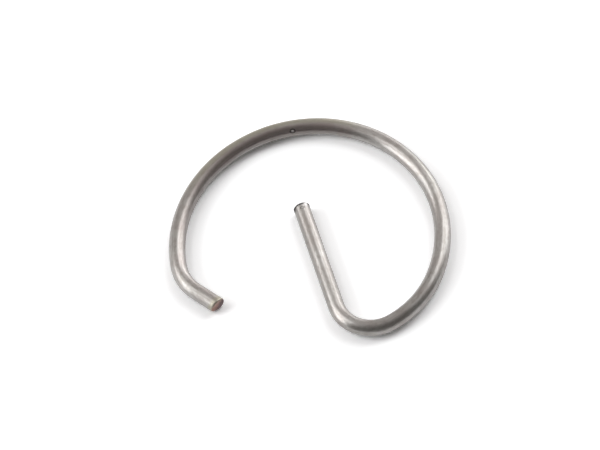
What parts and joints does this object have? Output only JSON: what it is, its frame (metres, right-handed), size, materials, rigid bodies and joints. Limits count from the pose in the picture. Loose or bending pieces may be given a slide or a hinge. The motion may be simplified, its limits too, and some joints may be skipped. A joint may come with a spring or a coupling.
{
  "type": "retaining ring",
  "caption": "Open round-wire retaining ring with a short inward hook and a long straight removal tang across its middle.",
  "frame": {"origin": "centre of the ring's circle, level with the wire's axis", "axes": "+Z square to the plane of the bent wire; +Y along the removal tang, from its bend to its tip; +X to the right of the tang"},
  "size_m": [0.017, 0.0161, 0.001],
  "materials": {
    "spring_steel": "satin"
  },
  "bodies": {
    "root": {"retaining_ring": "spring_steel"}
  },
  "joints": []
}
